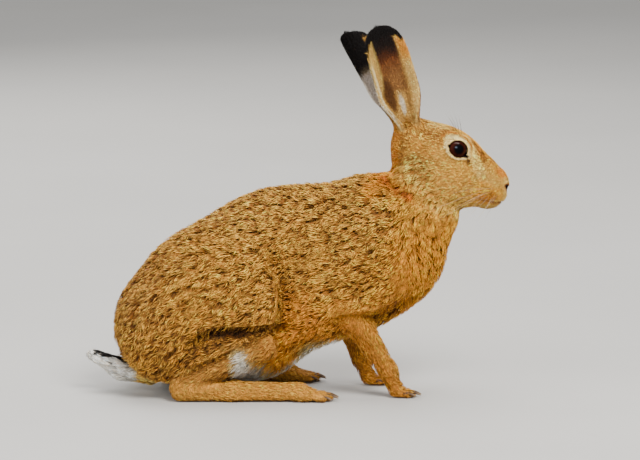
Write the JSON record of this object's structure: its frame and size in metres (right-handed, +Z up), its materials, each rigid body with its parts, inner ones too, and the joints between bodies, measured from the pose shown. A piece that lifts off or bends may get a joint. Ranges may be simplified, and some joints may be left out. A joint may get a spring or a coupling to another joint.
{
  "type": "brown hare",
  "caption": "Life-size still model of a brown hare, crouched on all four feet with its head up and its long black-tipped ears raised.",
  "frame": {"origin": "on the floor, at the middle of the bounding box's bottom, under the belly", "axes": "+X towards the nose, +Y to the animal's left side, +Z up"},
  "size_m": [0.402, 0.1428, 0.3568],
  "materials": {
    "coat_back": "deep ticked fur, tawny with dark bases and pale tips",
    "coat_rust": "soft rusty fur of neck, chest, flanks and legs",
    "coat_ear": "short ear fur with a black tip and buff edges",
    "coat_white": "white fur of the belly and the sides of the tail",
    "skin": "dark bare skin of eyelids and nostrils",
    "whisker": "stiff pale whisker hair",
    "eye": "wet, amber-brown iris and black pupil",
    "claw": "dark horn"
  },
  "bodies": {
    "root": {"trunk": "coat_back", "neck": "coat_rust", "head": "coat_back", "tail": "coat_white", "eye_left": "eye", "ear_left": "coat_ear", "haunch_left": "coat_back", "hindfoot_left": "coat_rust", "foreleg_left": "coat_rust", "claw_hind_left_1": "claw", "claw_hind_left_2": "claw", "claw_hind_left_3": "claw", "claw_hind_left_4": "claw", "claw_fore_left_1": "claw", "claw_fore_left_2": "claw", "claw_fore_left_3": "claw", "claw_fore_left_4": "claw", "eye_right": "eye", "ear_right": "coat_ear", "haunch_right": "coat_back", "hindfoot_right": "coat_rust", "foreleg_right": "coat_rust", "claw_hind_right_1": "claw", "claw_hind_right_2": "claw", "claw_hind_right_3": "claw", "claw_hind_right_4": "claw", "claw_fore_right_1": "claw", "claw_fore_right_2": "claw", "claw_fore_right_3": "claw", "claw_fore_right_4": "claw"}
  },
  "joints": []
}
